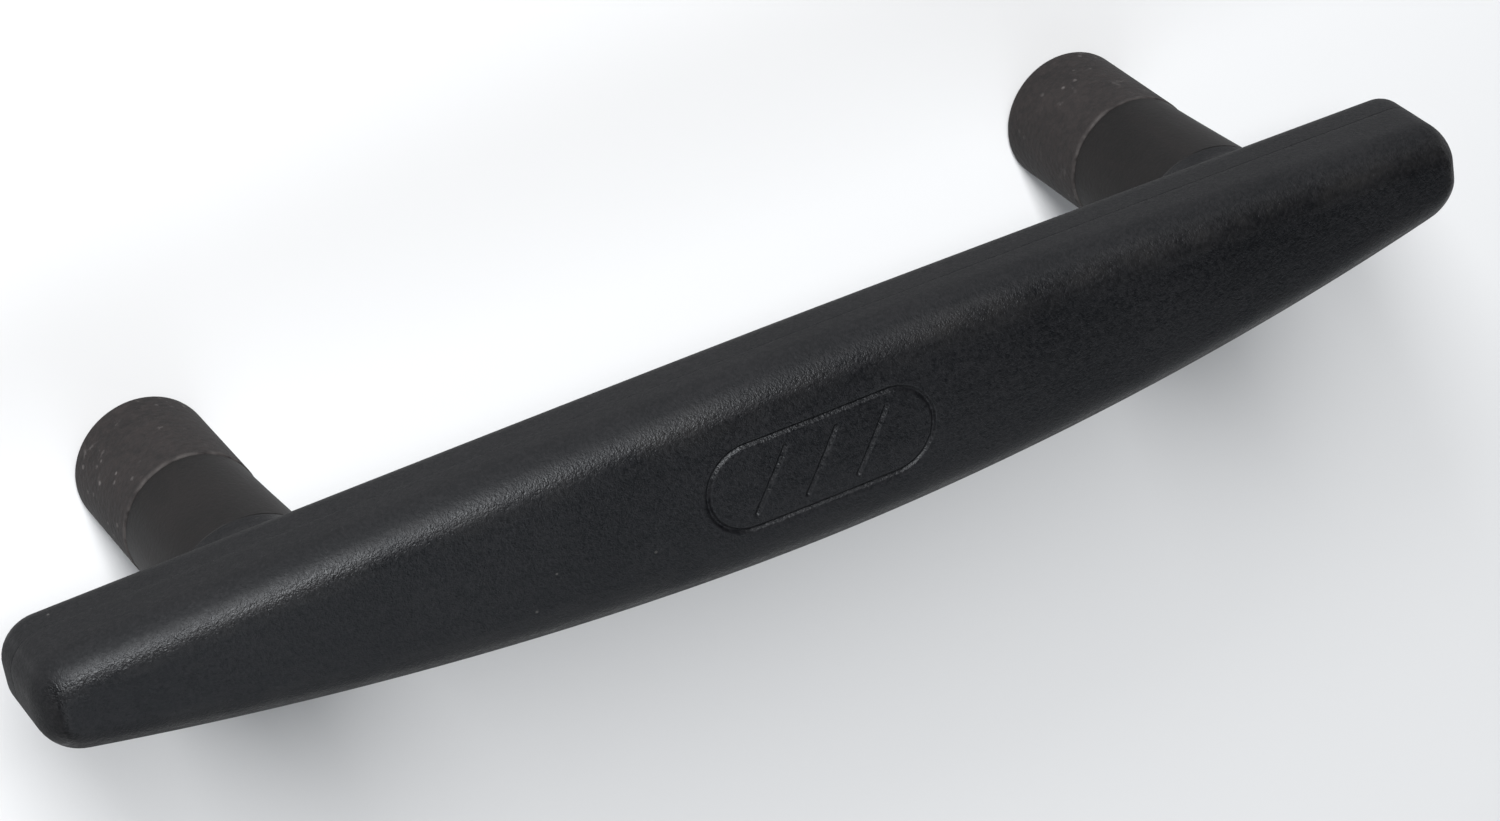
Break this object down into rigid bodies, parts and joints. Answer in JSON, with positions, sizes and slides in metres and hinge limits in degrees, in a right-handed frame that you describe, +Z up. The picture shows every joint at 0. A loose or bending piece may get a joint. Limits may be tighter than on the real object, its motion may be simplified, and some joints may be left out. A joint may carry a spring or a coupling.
{
  "type": "cleat horn",
  "caption": "Arched moulded horn on two round posts with rough foot sleeves, for a deck cleat or grab bar: rope or hand passes under the bar between the posts",
  "frame": {"origin": "on the deck plane under the middle of the bar, at the centre of the bounding box's bottom face", "axes": "+X runs along the bar, +Y across it, +Z up from the deck to the crown"},
  "size_m": [0.254, 0.0352, 0.0731],
  "materials": {
    "shell": "satin black with fine moulded grain",
    "leg": "smooth satin black",
    "sleeve": "rough dark grey, scuffed",
    "steel": "satin stainless",
    "brass": "turned"
  },
  "bodies": {
    "root": {"horn_cover": "shell", "horn_base": "shell", "stiffener_plate": "steel", "left_leg": "leg", "right_leg": "leg", "left_sleeve": "sleeve", "right_sleeve": "sleeve", "left_insert": "brass", "right_insert": "brass", "left_leg_screw": "steel", "right_leg_screw": "steel", "cover_screw_1": "steel", "cover_screw_2": "steel", "cover_screw_3": "steel", "cover_screw_4": "steel"}
  },
  "joints": []
}
